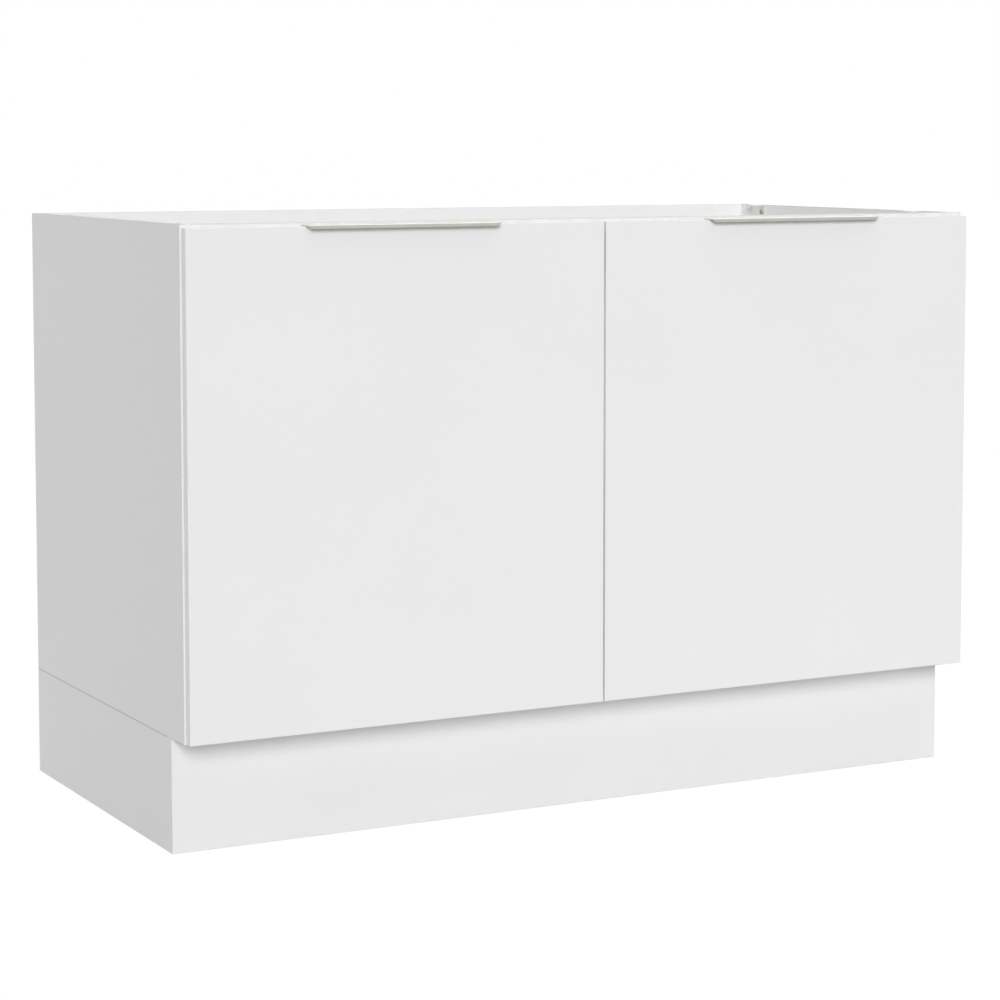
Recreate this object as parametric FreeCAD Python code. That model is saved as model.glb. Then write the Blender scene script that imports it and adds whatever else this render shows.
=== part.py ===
"""Kitchen base cabinet: an open-topped board carcass on a set-back plinth, with two overlay doors.

Millimetres. +Z is up, the doors face -Y, and the origin is on the floor at the middle of the footprint.
The cabinet is the same on both sides, so left-hand pieces are made first and mirrored in the YZ plane.
"""
import math
import os

import FreeCAD
import Part

Vector = FreeCAD.Vector

# Carcass
width = 1200.0                  # over the side panels
side_depth = 580.0
side_height = 657.0
board = 15.0                    # sides, bottom, rails, shelf and plinth boards
back_thickness = 3.0
groove_depth = 6.0              # of the sides' grooves that hold the back panel
groove_clearance = 0.25
rail_height = 80.0
edge_round = 0.5

# Plinth
plinth_height = 150.0
plinth_setback = 46.0           # front edges of the sides to the plinth's front
plinth_rear_inset = 60.0

# Shelf
shelf_height = 300.0            # bottom panel's top face to the shelf's underside
shelf_setback = 70.0            # front edges of the sides to the shelf
shelf_end_gap = 1.5
shelf_back_gap = 2.0
pin_radius = 2.5
pin_hole_depth = 10.0
pin_reach = 9.0                 # how far a shelf pin stands out of the side
pin_pitch = 32.0
pin_holes_each_way = 2          # spare holes above and below the shelf's own
pin_row_inset = 60.0            # shelf's edges to its pins
pin_collar = 1.0                # how far a pin's collar stands round the pin
pin_collar_thickness = 1.2

# Doors and pulls
door_thickness = 15.0
door_gap = 1.5                  # carcass front to the doors' backs
side_reveal = 1.5
centre_gap = 3.0
door_bottom_gap = 2.0
door_top_gap = 4.5
door_front_round = 0.8
door_back_round = 2.0
pull_length = 274.0
pull_metal = 1.5
pull_reach = 11.0               # lip's face in front of the door
pull_lip = 4.5                  # lip's height
pull_corner_cut = 5.0           # how far in the lip's lower edge ends
pull_nose_round = 1.2
pull_hem_round = 0.45
pull_kerf_inset = 7.0           # door's front face to the middle of the saw kerf
pull_tongue = 9.0               # how deep the tongue goes into the kerf
kerf_clearance = 0.25
bumper_radius = 4.0
bumper_inset = 25.0             # free edge of the door to its bumpers
bumper_slack = 0.05

# Cup hinges
hinge_end_gap = 6.0             # front rail's underside to the upper hinges' flanges
hinge_pivot_depth = 9.5         # door's back to the pivot
hinge_clearance = 0.35
hinge_pin_radius = 1.0
hinge_eye_radius = 1.9
hinge_running_fit = 0.05
hinge_nose_width = 8.0
hinge_metal = 2.0
hinge_arm_length = 62.0         # behind the carcass front
hinge_arm_width = 16.0
hinge_arm_wall = 1.5
cup_radius = 17.5
cup_wall = 0.7
cup_flange_share = 0.6          # of the gap behind the door
cup_flange_corner = 6.0
cup_ear_reach = 29.0            # cup's centre to the tips of its flange
cup_screw_reach = 22.5
cup_screw_offset = 6.0
plate_setback = 37.0            # carcass front to the plate's screws
plate_screw_pitch = 32.0
plate_wing = 2.5
plate_wing_length = 48.0
plate_wing_width = 16.0
plate_corner = 5.0
arm_screw_spread = 15.0         # plate's screws to the arm's screws, along the depth

# Corner brackets
bracket_length = 33.0
bracket_metal = 2.0
bracket_in = 15.0
bracket_down = 30.0
bracket_front_setback = 73.0    # front edges of the sides to the front brackets
bracket_rear_setback = 56.0     # rear edges of the sides to the rear brackets
bracket_hole_radius = 2.75
bracket_screw_pitch = 19.0
bracket_screw_drop = 11.0       # carcass top to a bracket's front screw
bracket_screw_step = 11.0       # how much lower its rear screw is

# Fasteners
fit = 0.05                      # radial room of a fastener in its hole
screw_radius = 1.75
screw_head_radius = 3.6
screw_head_height = 2.2
screw_length = 12.0
screw_crown = 1.3               # rounding of the head
recess_width = 0.9
recess_depth = 1.5
dowel_radius = 4.0
dowel_length = 30.0
dowel_in_side = 10.0
dowel_room = 0.5                # spare depth at each end of a dowel
dowel_chamfer = 1.0
floor_dowel_inset = 140.0       # bottom panel's front and rear edges to its dowels
floor_cam_inset = 55.0          # and to its cams
rail_cam_drop = 24.0            # carcass top to the rails' cams
rail_dowel_drop = 56.0          # and to their dowels
plinth_dowel_inset = 45.0       # plinth's top and bottom to its dowels
cam_radius = 7.5
cam_height = 12.0
cam_centre = 34.0               # board's end to the cam's centre
cam_bolt_radius = 3.5
cam_bolt_thread_radius = 2.5
cam_bolt_in_side = 11.0
cam_bolt_head_radius = 3.0
nail_radius = 0.7
nail_length = 16.0
nail_head_radius = 2.2
nail_head_height = 0.6
nail_pitch = 160.0
block_size = 22.0
block_length = 40.0
block_wall = 3.0
side_block_inset = 130.0        # plinth's front and rear boards to the side blocks
front_block_offset = 300.0      # cabinet's middle to the front blocks
tiny = 1e-3                     # two places closer than this are the same

# Levels and planes that follow from the sizes
half_width = width / 2
total_depth = side_depth + door_gap + door_thickness + pull_reach
rear = total_depth / 2
carcass_front = rear - side_depth
door_back = carcass_front - door_gap
door_front = door_back - door_thickness
carcass_bottom = plinth_height
carcass_top = plinth_height + side_height
inner_half = half_width - board
back_rear = rear - board        # the rear rail fits behind the back panel
back_front = back_rear - back_thickness
floor_top = carcass_bottom + board
shelf_bottom = floor_top + shelf_height
shelf_front = carcass_front + shelf_setback
shelf_rear = back_front - shelf_back_gap
door_bottom = carcass_bottom + door_bottom_gap
door_top = carcass_top - door_top_gap
door_outer = half_width - side_reveal
door_inner = centre_gap / 2
door_middle = (door_outer + door_inner) / 2
plinth_front = carcass_front + plinth_setback
plinth_board_back = plinth_front + board
plinth_rear = rear - plinth_rear_inset

# The door turns about a pivot in its thickness. Its back corner just clears the side panel's front edge.
corner_swing = hinge_pivot_depth + door_gap - hinge_clearance
pivot_from_edge = door_back_round + math.sqrt(
    (corner_swing - door_back_round) ** 2 - (hinge_pivot_depth - door_back_round) ** 2)
pivot_x = -door_outer + pivot_from_edge
pivot_y = door_back - hinge_pivot_depth
cup_inner = cup_radius - cup_wall
nose_half = hinge_nose_width / 2
nose_chord = math.sqrt(cup_inner ** 2 - nose_half ** 2)
cup_x = pivot_x + nose_chord - hinge_eye_radius - hinge_clearance
cup_depth = hinge_pivot_depth + hinge_eye_radius + hinge_clearance + cup_wall
flange_thickness = cup_flange_share * door_gap
flange_swing = math.sqrt(corner_swing ** 2 - (hinge_pivot_depth + flange_thickness) ** 2)
arm_offset = hinge_pivot_depth + flange_thickness + hinge_metal / 2 + 2 * hinge_clearance
arm_x = pivot_x + arm_offset
arm_under = arm_x - hinge_metal / 2
arm_top = arm_x + hinge_metal / 2
upper_hinge = carcass_top - rail_height - hinge_end_gap - cup_ear_reach
lower_hinge = door_bottom + door_top - upper_hinge
hinge_heights = (lower_hinge, upper_hinge)

RIGHT = Vector(1, 0, 0)
BACK = Vector(0, 1, 0)
UP = Vector(0, 0, 1)
ORIGIN = Vector(0, 0, 0)


def block(x0, x1, y0, y1, z0, z1):
    """A box between two values on each axis."""
    return Part.makeBox(x1 - x0, y1 - y0, z1 - z0, Vector(x0, y0, z0))


def rod(radius, start, direction, length):
    """A round bar from a point along a direction."""
    return Part.makeCylinder(radius, length, start, direction)


def mirror(shape):
    """The right-hand copy of a left-hand shape."""
    return shape.mirror(ORIGIN, RIGHT)


def both(shapes):
    """Left-hand shapes and their right-hand copies."""
    return list(shapes) + [mirror(shape) for shape in shapes]


def carve(shape, cutters):
    """The shape with every cutter taken out of it, as one solid."""
    return shape.cut(tuple(cutters)).Solids[0]


def join(shapes):
    """One solid made of shapes that touch or overlap."""
    return shapes[0].fuse(tuple(shapes[1:])).removeSplitter().Solids[0]


def group(shapes):
    """Separate solids that share one node."""
    return Part.makeCompound(shapes)


def edges_along(shape, direction):
    """The straight edges that run along a direction."""
    found = []
    for edge in shape.Edges:
        if isinstance(edge.Curve, Part.Line) and edge.Curve.Direction.cross(direction).Length < tiny:
            found.append(edge)
    return found


def edges_through(shape, direction, point):
    """The straight edges along a direction that lie on one line through a point."""
    found = []
    for edge in edges_along(shape, direction):
        if (edge.CenterOfMass - point).cross(direction).Length < tiny:
            found.append(edge)
    return found


def edges_at(shape, y):
    """The edges that lie in the plane at one depth."""
    return [edge for edge in shape.Edges if all(abs(v.Point.y - y) < tiny for v in edge.Vertexes)]


def soften(shape, radius=edge_round):
    """A board with every edge lightly rounded."""
    return shape.makeFillet(radius, shape.Edges)


def screw(seat, direction, length=screw_length):
    """A pan-head screw whose head rests on the seat and whose shank goes along the direction."""
    head = rod(screw_head_radius, seat, -direction, screw_head_height)
    crown = [edge for edge in head.Edges if abs((edge.CenterOfMass - seat).dot(direction)) > tiny
             and isinstance(edge.Curve, Part.Circle)]
    head = head.makeFillet(screw_crown, crown)
    shank = rod(screw_radius, seat, direction, length - 2 * screw_radius)
    tip = Part.makeCone(screw_radius, screw_radius / 4, 2 * screw_radius,
                        seat + direction * (length - 2 * screw_radius), direction)
    return carve(join([head, shank, tip]), recess(seat - direction * screw_head_height, direction))


def recess(top, direction):
    """The crossed slots of a driver recess, cut down from the top of a head."""
    across = RIGHT if direction.cross(UP).Length < tiny else UP
    third = direction.cross(across)
    slots = []
    for long_way, short_way in ((across, third), (third, across)):
        corner = top - long_way * screw_radius - short_way * (recess_width / 2)
        face = Part.makePolygon([
            corner,
            corner + long_way * (2 * screw_radius),
            corner + long_way * (2 * screw_radius) + short_way * recess_width,
            corner + short_way * recess_width,
            corner])
        slots.append(Part.Face(face).extrude(direction * recess_depth))
    return slots


def screw_hole(seat, direction, length=screw_length):
    """The hole that a screw's shank needs."""
    return rod(screw_radius + fit, seat, direction, length + dowel_room)


# Joints between boards, on the left: a wooden dowel, and a cam lock with its bolt
def dowel(face_point, direction):
    """A dowel that crosses a joint face, and its hole."""
    start = face_point - direction * dowel_in_side
    pin = rod(dowel_radius, start, direction, dowel_length)
    hole = rod(dowel_radius + fit, start - direction * dowel_room, direction, dowel_length + 2 * dowel_room)
    return soften_ends(pin), hole


def soften_ends(pin):
    """A round bar with its two rims chamfered."""
    rims = [edge for edge in pin.Edges if isinstance(edge.Curve, Part.Circle)]
    return pin.makeChamfer(dowel_chamfer, rims)


def cam_joint(face_point, cam_face, cam_axis):
    """A cam, its bolt, and the holes for both. The bolt goes into the side at face_point."""
    centre = face_point + RIGHT * cam_centre
    mouth = centre + cam_axis * cam_axis.dot(cam_face - centre)
    bolt_length = cam_centre - cam_radius / 2
    thread = rod(cam_bolt_thread_radius, face_point - RIGHT * cam_bolt_in_side, RIGHT, cam_bolt_in_side)
    shank = rod(cam_bolt_radius, face_point, RIGHT, bolt_length - cam_bolt_head_radius)
    neck = rod(cam_bolt_head_radius, face_point, RIGHT, bolt_length)
    bolt = join([thread, shank, neck])
    cam = rod(cam_radius, mouth, -cam_axis, cam_height)
    way = rod(cam_bolt_radius + 4 * fit, face_point, RIGHT, cam_centre)
    cam = carve(cam, [way] + recess(mouth, -cam_axis))
    holes = [
        rod(cam_bolt_thread_radius + fit, face_point - RIGHT * (cam_bolt_in_side + dowel_room), RIGHT,
            cam_bolt_in_side + dowel_room),
        rod(cam_bolt_radius + 2 * fit, face_point, RIGHT, cam_centre),
        rod(cam_radius + fit, mouth, -cam_axis, cam_height + fit)]
    return cam, bolt, holes


def carcass_joints():
    """Every dowel, cam and bolt of the left side, and the holes they need."""
    middle = carcass_bottom + board / 2
    cams, bolts, dowels, holes = [], [], [], []
    places = []
    for kind, inset in (("cam", floor_cam_inset), ("dowel", floor_dowel_inset)):
        for y in (carcass_front + inset, back_front - inset):
            places.append((kind, Vector(-inner_half, y, middle), Vector(0, 0, carcass_bottom), -UP))
    for rail_back in (carcass_front + board, rear):
        for kind, drop in (("cam", rail_cam_drop), ("dowel", rail_dowel_drop)):
            point = Vector(-inner_half, rail_back - board / 2, carcass_top - drop)
            places.append((kind, point, Vector(0, rail_back, 0), BACK))
    for kind, point, face, axis in places:
        if kind == "dowel":
            pin, hole = dowel(point, RIGHT)
            dowels.append(pin)
            holes.append(hole)
        else:
            cam, bolt, cuts = cam_joint(point, face, axis)
            cams.append(cam)
            bolts.append(bolt)
            holes.extend(cuts)
    return cams, bolts, dowels, holes


# Corner brackets
def bracket_starts():
    """Where the front and rear brackets begin, along the depth."""
    return carcass_front + bracket_front_setback, rear - bracket_rear_setback - bracket_length


def bracket_screw_seats(start):
    """The two screw seats on a bracket's upright leg: the front one high, the rear one lower."""
    face = -inner_half + bracket_metal
    front = start + (bracket_length - bracket_screw_pitch) / 2
    upper = carcass_top - bracket_screw_drop
    return [Vector(face, front, upper),
            Vector(face, front + bracket_screw_pitch, upper - bracket_screw_step)]


def bracket(start):
    """An L of sheet steel under the top edge of the left side, with a hole for a worktop screw."""
    end = start + bracket_length
    upright = block(-inner_half, -inner_half + bracket_metal, start, end,
                    carcass_top - bracket_down, carcass_top)
    level = block(-inner_half, -inner_half + bracket_in, start, end,
                  carcass_top - bracket_metal, carcass_top)
    shape = join([upright, level])
    corners = [edge for edge in edges_along(shape, RIGHT)
               if edge.CenterOfMass.z < carcass_top - bracket_down + tiny]
    corners += [edge for edge in edges_along(shape, UP)
                if edge.CenterOfMass.x > -inner_half + bracket_in - tiny]
    shape = shape.makeFillet(bracket_metal, corners)
    hole_x = -inner_half + (bracket_metal + bracket_in) / 2
    cuts = [rod(bracket_hole_radius, Vector(hole_x, start + bracket_length / 2, carcass_top), -UP,
                2 * bracket_metal)]
    for seat in bracket_screw_seats(start):
        cuts.append(rod(screw_radius + fit, seat, -RIGHT, bracket_metal))
    return carve(shape, cuts)


# Shelf pins
def pin_places():
    """Depths of the two pin rows, and the height of a pin's middle."""
    rows = (shelf_front + pin_row_inset, shelf_rear - pin_row_inset)
    return rows, shelf_bottom - pin_radius


def shelf_pin(y, z):
    """A peg in the left side with a flat tongue under the shelf."""
    face = Vector(-inner_half, y, z)
    peg = rod(pin_radius, face - RIGHT * (pin_hole_depth - dowel_room), RIGHT, pin_hole_depth)
    collar = rod(pin_radius + pin_collar, face, RIGHT, pin_collar_thickness)
    above = block(-half_width, half_width, y - board, y + board, shelf_bottom, shelf_bottom + board)
    collar = collar.cut(above)
    tongue = block(-inner_half, -inner_half + pin_reach, y - pin_radius, y + pin_radius, z, shelf_bottom)
    return join([peg, collar, tongue])


def pin_holes():
    """The rows of shelf holes in the left side."""
    rows, level = pin_places()
    holes = []
    for y in rows:
        for step in range(-pin_holes_each_way, pin_holes_each_way + 1):
            mouth = Vector(-inner_half, y, level + step * pin_pitch)
            holes.append(rod(pin_radius + fit, mouth, -RIGHT, pin_hole_depth))
    return holes


# Hinges of the left door
def plate_screw_seats(height):
    """The two screw seats on a hinge plate's wings."""
    seats = []
    for way in (-1, 1):
        seats.append(Vector(-inner_half + plate_wing, carcass_front + plate_setback,
                            height + way * plate_screw_pitch / 2))
    return seats


def arm_screw_seats(height):
    """The fixing screw and the adjusting screw on an arm."""
    seats = []
    for depth in (plate_setback - arm_screw_spread, plate_setback + arm_screw_spread):
        seats.append(Vector(arm_top, carcass_front + depth, height))
    return seats


def arm_screw_length():
    """From the arm's top to just short of the side panel."""
    return arm_top + inner_half - dowel_room


def cup_screw_seats(height):
    """The two screw seats on a cup's flange."""
    seats = []
    for way in (-1, 1):
        seats.append(Vector(cup_x + cup_screw_offset, door_back + flange_thickness,
                            height + way * cup_screw_reach))
    return seats


def hinge_cup(height):
    """A pressed cup with a screw flange, and inside it two cheeks that hold the pin."""
    mouth = Vector(cup_x, door_back, height)
    outer = rod(cup_radius, mouth, -BACK, cup_depth)
    hollow = rod(cup_inner, mouth, -BACK, cup_depth - cup_wall)
    shell = outer.cut(hollow)
    flange = block(pivot_x - flange_swing, cup_x + cup_radius + hinge_metal, door_back,
                   door_back + flange_thickness, height - cup_ear_reach, height + cup_ear_reach)
    flange = flange.makeFillet(cup_flange_corner, edges_along(flange, BACK))
    opening = rod(cup_inner, Vector(cup_x, door_back, height), BACK, flange_thickness)
    flange = flange.cut(opening)
    cheeks = []
    for way in (-1, 1):
        near = height + way * (nose_half + hinge_clearance)
        far = height + way * cup_inner
        cheek = block(cup_x - cup_radius, pivot_x + 2 * hinge_eye_radius, door_back - cup_depth,
                      pivot_y + hinge_eye_radius, min(near, far), max(near, far))
        cheeks.append(cheek.common(outer))
    solid = join([shell, flange] + cheeks)
    cuts = [pin_hole(height)]
    for seat in cup_screw_seats(height):
        cuts.append(rod(screw_radius + fit, seat, -BACK, flange_thickness))
    return carve(solid, cuts)


def pin_half_length():
    """Half of the pin: as far as the cup's round wall lets it reach."""
    return math.sqrt(cup_inner ** 2 - (cup_x - pivot_x + hinge_pin_radius) ** 2)


def pin_hole(height):
    """The pin's seat in the cheeks."""
    half = pin_half_length()
    return rod(hinge_pin_radius + fit / 2, Vector(pivot_x, pivot_y, height - half), UP, 2 * half)


def hinge_pin(height):
    """The pin that the arm's eye turns on."""
    half = pin_half_length() - fit
    return rod(hinge_pin_radius, Vector(pivot_x, pivot_y, height - half), UP, 2 * half)


def hinge_arm(height):
    """A hooked arm: an eye on the pin, a nose out of the cup, and a channel over the plate."""
    low, high = height - nose_half, height + nose_half
    half_metal = hinge_metal / 2
    channel_start = carcass_front + hinge_metal
    channel_end = carcass_front + hinge_arm_length
    channel_half = hinge_arm_width / 2
    eye = rod(hinge_eye_radius, Vector(pivot_x, pivot_y, low), UP, hinge_nose_width)
    nose = block(pivot_x, arm_top, pivot_y - half_metal, pivot_y + half_metal, low, high)
    neck = block(arm_under, arm_top, pivot_y - half_metal, channel_end, low, high)
    web = block(arm_under, arm_top, channel_start, channel_end, height - channel_half, height + channel_half)
    walls = []
    wall_foot = -inner_half + plate_wing + hinge_clearance
    for side in (-channel_half, channel_half - hinge_arm_wall):
        walls.append(block(wall_foot, arm_top, channel_start + hinge_arm_wall, channel_end,
                           height + side, height + side + hinge_arm_wall))
    solid = join([eye, nose, neck, web] + walls)
    bend = Vector(arm_top, pivot_y - half_metal, height)
    solid = solid.makeFillet(half_metal, edges_through(solid, UP, bend))
    cuts = [rod(hinge_pin_radius + hinge_running_fit, Vector(pivot_x, pivot_y, low), UP, hinge_nose_width)]
    for seat in arm_screw_seats(height):
        cuts.append(rod(screw_radius + fit, seat, -RIGHT, hinge_metal))
    return carve(solid, cuts)


def hinge_plate(height):
    """A mounting plate on the side panel: two screwed wings and a raised bed for the arm."""
    face = -inner_half
    middle = carcass_front + plate_setback
    bed_half = hinge_arm_width / 2 - hinge_arm_wall - hinge_clearance
    wings = block(face, face + plate_wing, middle - plate_wing_width / 2, middle + plate_wing_width / 2,
                  height - plate_wing_length / 2, height + plate_wing_length / 2)
    wings = wings.makeFillet(plate_corner, edges_along(wings, RIGHT))
    bed = block(face, arm_under, carcass_front + board / 2, carcass_front + hinge_arm_length - hinge_metal,
                height - bed_half, height + bed_half)
    cuts = []
    for seat in plate_screw_seats(height):
        cuts.append(rod(screw_radius + fit, seat, -RIGHT, plate_wing))
    for seat in arm_screw_seats(height):
        cuts.append(screw_hole(seat, -RIGHT, arm_screw_length()))
    return carve(join([wings, bed]), cuts)


# Boards
def left_side_panel(joint_holes):
    """A side panel with its groove and every hole on its inner face."""
    panel = soften(block(-half_width, -inner_half, carcass_front, rear, carcass_bottom, carcass_top))
    groove = block(-inner_half - groove_depth, -inner_half, back_front - groove_clearance,
                   back_rear + groove_clearance, carcass_bottom, carcass_top)
    cuts = [groove] + list(joint_holes) + pin_holes()
    for height in hinge_heights:
        cuts += [screw_hole(seat, -RIGHT) for seat in plate_screw_seats(height)]
    for start in bracket_starts():
        cuts += [screw_hole(seat, -RIGHT) for seat in bracket_screw_seats(start)]
    return carve(panel, cuts)


def bottom_panel(joint_holes, block_holes):
    """The cabinet's floor, between the sides and in front of the back panel."""
    panel = soften(block(-inner_half, inner_half, carcass_front, back_front, carcass_bottom, floor_top))
    return carve(panel, joint_holes + block_holes + nail_holes())


def front_rail(joint_holes):
    """The rail on edge behind the doors' tops."""
    rail = soften(block(-inner_half, inner_half, carcass_front, carcass_front + board,
                        carcass_top - rail_height, carcass_top))
    return carve(rail, joint_holes)


def rear_rail(joint_holes):
    """The rail on edge behind the back panel, level with the rear edges of the sides."""
    rail = soften(block(-inner_half, inner_half, back_rear, rear,
                        carcass_top - rail_height, carcass_top))
    return carve(rail, joint_holes)


def back_panel():
    """A thin sheet in the grooves of the sides."""
    half = inner_half + groove_depth - groove_clearance
    sheet = block(-half, half, back_front, back_rear, carcass_bottom, carcass_top)
    return carve(sheet, nail_holes())


def shelf():
    """A loose shelf on four pins."""
    half = inner_half - shelf_end_gap
    return soften(block(-half, half, shelf_front, shelf_rear, shelf_bottom, shelf_bottom + board))


# Nails of the back panel, into the bottom panel's rear edge
def nail_seats():
    """Where the nails' heads lie on the back panel."""
    count = int(2 * inner_half / nail_pitch)
    seats = []
    for index in range(count):
        x = (index - (count - 1) / 2) * nail_pitch
        seats.append(Vector(x, back_rear, carcass_bottom + board / 2))
    return seats


def nails():
    """Flat-headed nails."""
    made = []
    for seat in nail_seats():
        shank = rod(nail_radius, seat, -BACK, nail_length)
        head = rod(nail_head_radius, seat, BACK, nail_head_height)
        made.append(join([shank, head]))
    return made


def nail_holes():
    """The holes that the nails make."""
    return [rod(nail_radius + fit, seat, -BACK, nail_length + fit) for seat in nail_seats()]


# Plinth
def plinth_dowel_pairs():
    """The plinth's dowels with their holes: front to sides, rear to sides, centre to front and rear."""
    made = []
    for height in (plinth_dowel_inset, plinth_height - plinth_dowel_inset):
        side_middle = half_width - board / 2
        for x in (-side_middle, 0, side_middle):
            made.append(dowel(Vector(x, plinth_board_back, height), BACK))
        made.append(dowel(Vector(0, plinth_rear - board, height), -BACK))
        rear_middle = plinth_rear - board / 2
        made.append(dowel(Vector(-inner_half, rear_middle, height), RIGHT))
        made.append(dowel(Vector(inner_half, rear_middle, height), -RIGHT))
    return made


def plinth_front_board(cuts):
    """The board that shows under the doors."""
    panel = block(-half_width, half_width, plinth_front, plinth_board_back, 0, plinth_height)
    return carve(soften(panel), cuts)


def plinth_left_board(cuts):
    """The plinth's side, flush with the side panel above it."""
    panel = block(-half_width, -inner_half, plinth_board_back, rear, 0, plinth_height)
    return carve(soften(panel), cuts)


def plinth_rear_board(cuts):
    """The plinth's rear, between its sides."""
    panel = block(-inner_half, inner_half, plinth_rear - board, plinth_rear, 0, plinth_height)
    return carve(soften(panel), cuts)


def plinth_centre_board(cuts):
    """A board under the middle of the floor."""
    panel = block(-board / 2, board / 2, plinth_board_back, plinth_rear - board, 0, plinth_height)
    return carve(soften(panel), cuts)


def block_places():
    """Middles of the left-hand plinth blocks and the direction into the board that each is fixed to."""
    top = plinth_height - block_size / 2
    places = []
    for y in (plinth_board_back + side_block_inset, plinth_rear - board - side_block_inset):
        places.append((Vector(-inner_half + block_size / 2, y, top), -RIGHT))
    places.append((Vector(-front_block_offset, plinth_board_back + block_size / 2, top), -BACK))
    return places


def block_screw_seats(centre, direction):
    """One screw goes up into the floor and the other into the plinth board."""
    inside = block_size / 2 - block_wall
    along = direction.cross(UP) * (block_length / 4)
    return [(centre + UP * inside + along, UP), (centre + direction * inside - along, direction)]


def plinth_block(centre, direction):
    """A plastic angle block, hollow towards the room inside the plinth and below."""
    along = direction.cross(UP)
    half = block_size / 2
    size = Vector(half, half, half) + Vector(abs(along.x), abs(along.y), 0) * (block_length / 2 - half)
    low, high = centre - size, centre + size
    solid = block(low.x, high.x, low.y, high.y, low.z, high.z)
    shift = -(direction + UP) * block_wall
    room = Vector(abs(along.x), abs(along.y), 0) * block_wall
    low, high = low + shift + room, high + shift - room
    cuts = [block(low.x, high.x, low.y, high.y, low.z, high.z)]
    for seat, way in block_screw_seats(centre, direction):
        cuts.append(rod(screw_radius + fit, seat, way, block_wall))
    return carve(solid, cuts)


def block_fixings():
    """Blocks, screws and screw holes of the left half."""
    blocks, screws, holes = [], [], []
    for centre, direction in block_places():
        blocks.append(plinth_block(centre, direction))
        for seat, way in block_screw_seats(centre, direction):
            screws.append(screw(seat, way))
            holes.append(screw_hole(seat, way))
    return blocks, screws, holes


# Doors
def left_door():
    """A flat door with its hinge bores, screw holes and the saw kerf for its pull."""
    panel = block(-door_outer, -door_inner, door_front, door_back, door_bottom, door_top)
    panel = panel.makeFillet(door_front_round, edges_at(panel, door_front))
    panel = panel.makeFillet(door_back_round, edges_at(panel, door_back))
    kerf_middle = door_front + pull_kerf_inset
    kerf_half = pull_metal / 2 + kerf_clearance
    kerf_end = pull_length / 2 + kerf_clearance
    kerf = block(-door_middle - kerf_end, -door_middle + kerf_end,
                 kerf_middle - kerf_half, kerf_middle + kerf_half,
                 door_top - pull_tongue - kerf_clearance, door_top)
    cuts = [kerf]
    for height in hinge_heights:
        cuts.append(rod(cup_radius + fit, Vector(cup_x, door_back, height), -BACK, cup_depth + fit))
        cuts += [screw_hole(seat, -BACK) for seat in cup_screw_seats(height)]
    return carve(panel, cuts)


def left_pull():
    """An edge pull: a tongue in the door's kerf, a flange over its top edge and a lip with cut corners."""
    start, end = -door_middle - pull_length / 2, -door_middle + pull_length / 2
    tongue_front = door_front + pull_kerf_inset - pull_metal / 2
    lip_front = door_front - pull_reach
    lip_back = lip_front + pull_metal
    top = door_top + pull_metal
    hem = top - pull_lip
    flange = block(start, end, lip_front, door_back - door_back_round, door_top, top)
    tongue = block(start, end, tongue_front, tongue_front + pull_metal, door_top - pull_tongue, top)
    lip = block(start, end, lip_front, lip_back, hem, top)
    profile = join([flange, tongue, lip])
    nose = edges_through(profile, RIGHT, Vector(0, lip_front, top))
    profile = profile.makeFillet(pull_nose_round, nose)
    hem_edges = edges_through(profile, RIGHT, Vector(0, lip_front, hem))
    hem_edges += edges_through(profile, RIGHT, Vector(0, lip_back, hem))
    profile = profile.makeFillet(pull_hem_round, hem_edges)
    corners = []
    for tip, inward in ((start, RIGHT), (end, -RIGHT)):
        low = Vector(tip, lip_front, hem)
        corner = Part.makePolygon([low, low + inward * pull_corner_cut, Vector(tip, lip_front, door_top), low])
        corners.append(Part.Face(corner).extrude(BACK * pull_metal))
    return carve(profile, corners)


def left_bumpers():
    """Two soft discs on the door's back: one meets the front rail, the other the floor's edge."""
    made = []
    thickness = door_gap - bumper_slack
    for height in (carcass_bottom + board / 2, carcass_top - rail_height / 2):
        disc = rod(bumper_radius, Vector(-door_inner - bumper_inset, door_back, height), BACK, thickness)
        rim = [edge for edge in disc.Edges if abs(edge.CenterOfMass.y - door_back - thickness) < tiny]
        made.append(disc.makeFillet(thickness / 2, rim))
    return made


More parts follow.
